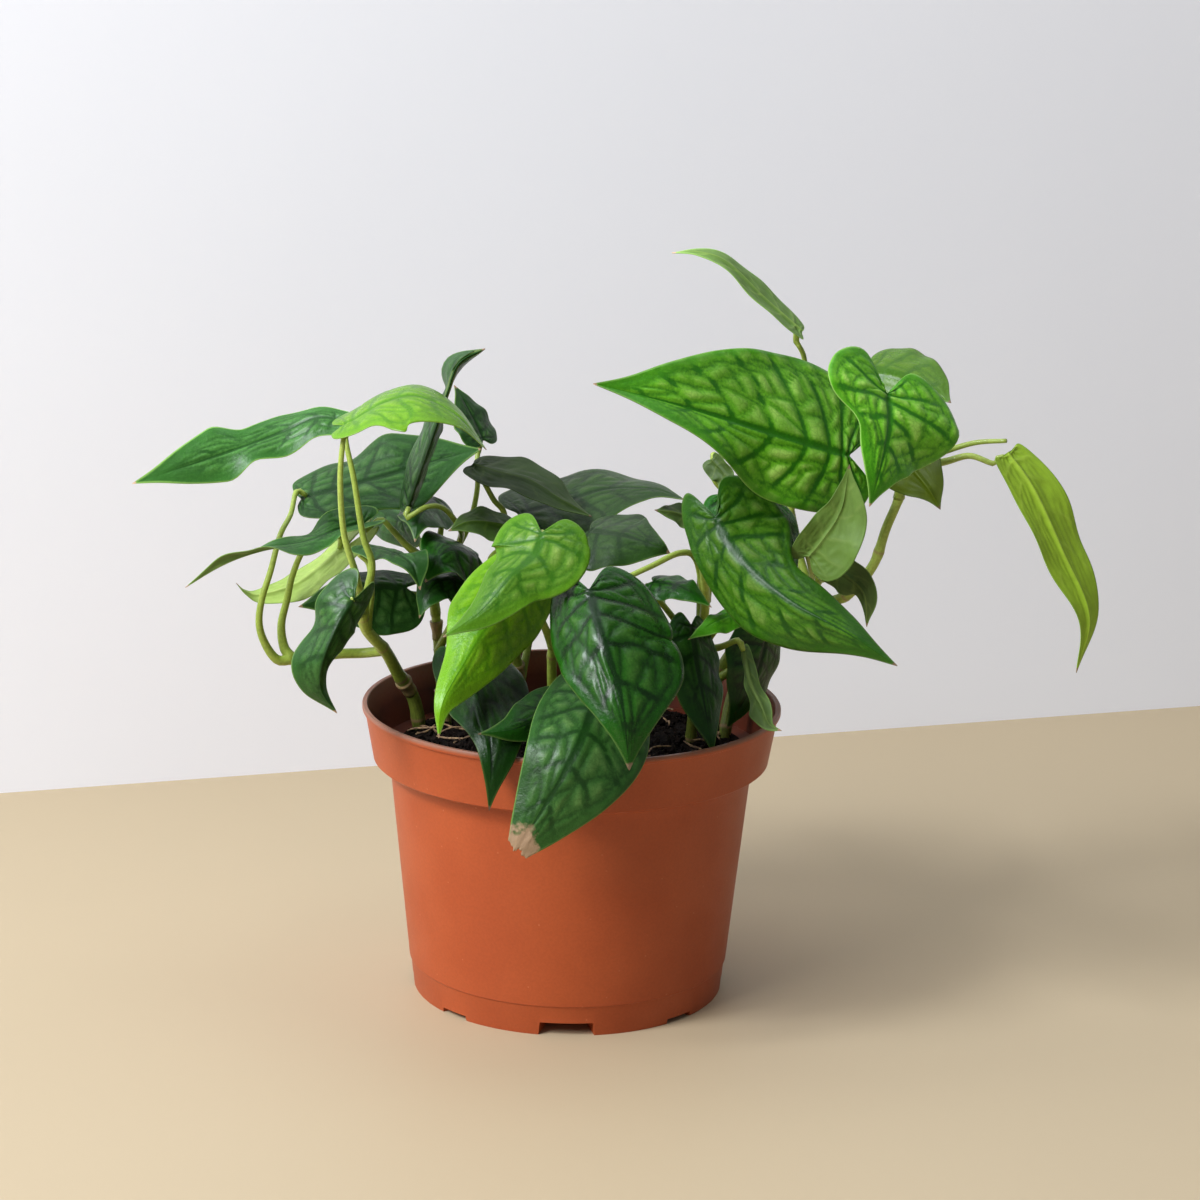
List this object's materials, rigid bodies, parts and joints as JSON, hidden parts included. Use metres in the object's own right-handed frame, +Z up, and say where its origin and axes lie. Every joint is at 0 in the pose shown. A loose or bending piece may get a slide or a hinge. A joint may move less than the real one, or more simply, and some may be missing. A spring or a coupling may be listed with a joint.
{
  "type": "potted monstera siltepecana",
  "caption": "Young climbing aroid with heart-shaped and lance-shaped leaves on thin stems, rooted in soil in a round ribless nursery pot.",
  "frame": {"origin": "centre of the whole plant's box in plan, on the surface that the pot stands on", "axes": "+Z up along the pot's axis; +X towards the long right-hand shoot; -Y towards the side the leaves face"},
  "size_m": [0.3314, 0.2056, 0.2714],
  "materials": {
    "pot": "moulded polypropylene, satin",
    "soil": "damp peat, matt",
    "stem": "living stem, satin",
    "leaf": "living leaf, satin",
    "young_leaf": "young living leaf, satin"
  },
  "bodies": {
    "root": {"pot": "pot", "soil": "soil", "shoot_left": "stem", "shoot_left_back": "stem", "shoot_middle": "stem", "shoot_front": "stem", "shoot_right_front": "stem", "shoot_right": "stem", "shoot_far_right": "stem", "leaf_01": "leaf", "leaf_02": "young_leaf", "leaf_03": "leaf", "leaf_04": "leaf", "leaf_05": "leaf", "leaf_06": "leaf", "leaf_07": "leaf", "leaf_08": "leaf", "leaf_09": "leaf", "leaf_10": "leaf", "leaf_11": "leaf", "leaf_12": "leaf", "leaf_13": "leaf", "leaf_14": "leaf", "leaf_15": "leaf", "leaf_16": "leaf", "leaf_17": "young_leaf", "leaf_18": "leaf", "leaf_19": "leaf", "leaf_20": "leaf", "leaf_21": "leaf", "leaf_22": "leaf", "leaf_23": "leaf", "leaf_24": "leaf", "leaf_25": "leaf", "leaf_26": "young_leaf", "leaf_27": "leaf", "leaf_28": "leaf", "leaf_29": "leaf", "leaf_30": "leaf", "leaf_31": "leaf", "leaf_32": "leaf", "leaf_33": "leaf", "leaf_34": "leaf", "leaf_35": "leaf", "leaf_36": "leaf", "leaf_37": "leaf", "leaf_38": "leaf", "leaf_39": "leaf", "leaf_40": "young_leaf", "leaf_41": "leaf", "leaf_42": "leaf", "leaf_43": "leaf", "leaf_44": "leaf", "leaf_45": "leaf", "leaf_46": "leaf", "leaf_47": "leaf"}
  },
  "joints": []
}
